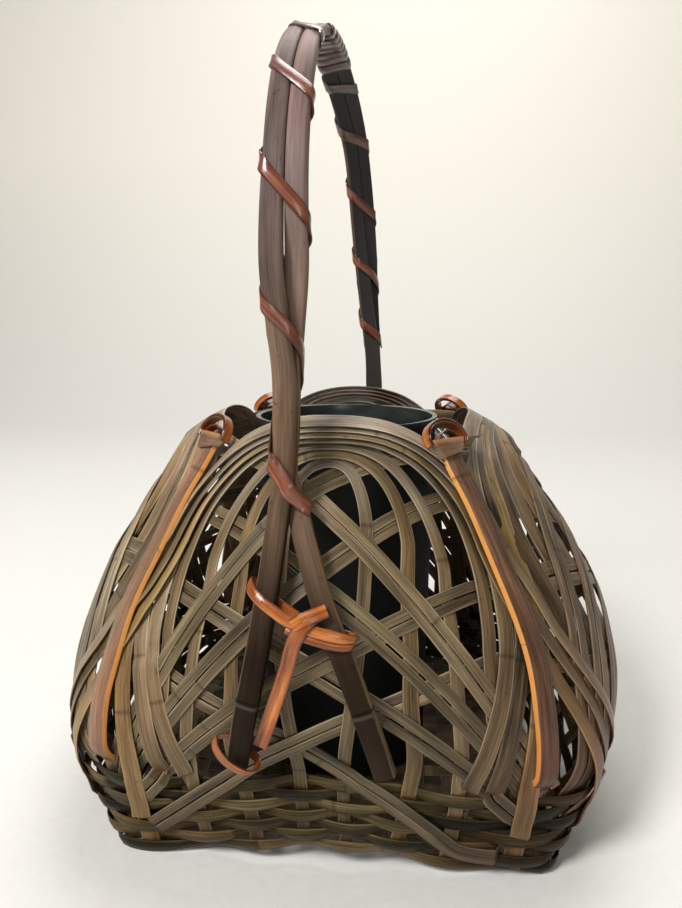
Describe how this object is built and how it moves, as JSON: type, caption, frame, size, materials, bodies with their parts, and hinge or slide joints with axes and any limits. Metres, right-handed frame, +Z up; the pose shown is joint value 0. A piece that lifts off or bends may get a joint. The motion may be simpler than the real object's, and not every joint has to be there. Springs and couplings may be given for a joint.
{
  "type": "ikebana basket",
  "caption": "Openwork bamboo flower basket: round mouth, square foot, crossing strips, corner splats, tall rattan-bound hoop handle and a lift-out water liner.",
  "frame": {"origin": "on the floor under the middle of the body", "axes": "+X to the right, +Y to the back, +Z up; the front, with its handle legs crossing, faces -Y"},
  "size_m": [0.3318, 0.305, 0.4405],
  "materials": {
    "smoked_bamboo": "smoked split bamboo, satin",
    "dark_bamboo": "dark stained bamboo, satin",
    "rattan": "red-brown lacquered rattan peel",
    "lacquer": "dark lacquered bamboo tube"
  },
  "bodies": {
    "basket": {"back_arch_1": "smoked_bamboo", "back_arch_2": "smoked_bamboo", "back_arch_3": "smoked_bamboo", "back_arch_4": "smoked_bamboo", "back_left_diagonal_1": "smoked_bamboo", "back_left_diagonal_2": "smoked_bamboo", "back_left_diagonal_3": "smoked_bamboo", "back_left_diagonal_4": "smoked_bamboo", "back_left_head_loop": "rattan", "back_left_head_wrap": "rattan", "back_left_splat": "dark_bamboo", "back_leg_tie": "rattan", "back_right_diagonal_1": "smoked_bamboo", "back_right_diagonal_2": "smoked_bamboo", "back_right_diagonal_3": "smoked_bamboo", "back_right_diagonal_4": "smoked_bamboo", "back_right_head_loop": "rattan", "back_right_head_wrap": "rattan", "back_right_splat": "dark_bamboo", "base_cross": "smoked_bamboo", "base_mat": "smoked_bamboo", "front_arch_1": "smoked_bamboo", "front_arch_2": "smoked_bamboo", "front_arch_3": "smoked_bamboo", "front_arch_4": "smoked_bamboo", "front_left_diagonal_1": "smoked_bamboo", "front_left_diagonal_2": "smoked_bamboo", "front_left_diagonal_3": "smoked_bamboo", "front_left_diagonal_4": "smoked_bamboo", "front_left_head_loop": "rattan", "front_left_head_wrap": "rattan", "front_left_splat": "dark_bamboo", "front_leg_tie": "rattan", "front_right_diagonal_1": "smoked_bamboo", "front_right_diagonal_2": "smoked_bamboo", "front_right_diagonal_3": "smoked_bamboo", "front_right_diagonal_4": "smoked_bamboo", "front_right_head_loop": "rattan", "front_right_head_wrap": "rattan", "front_right_splat": "dark_bamboo", "handle_half_left": "dark_bamboo", "handle_half_right": "dark_bamboo", "handle_winding": "rattan", "left_arch_1": "smoked_bamboo", "left_arch_2": "smoked_bamboo", "left_arch_3": "smoked_bamboo", "left_arch_4": "smoked_bamboo", "right_arch_1": "smoked_bamboo", "right_arch_2": "smoked_bamboo", "right_arch_3": "smoked_bamboo", "right_arch_4": "smoked_bamboo", "weaving_row_1": "smoked_bamboo", "weaving_row_2": "smoked_bamboo", "weaving_row_3": "smoked_bamboo", "weaving_row_4": "smoked_bamboo", "weaving_row_5": "smoked_bamboo", "weaving_row_6": "smoked_bamboo", "weaving_row_7": "smoked_bamboo"},
    "liner": {"water_liner": "lacquer"}
  },
  "joints": [
    {"name": "liner_lift", "type": "slide", "parent": "basket", "child": "liner", "axis": [0, 0, 1], "range_m": [0, 0.16]}
  ]
}
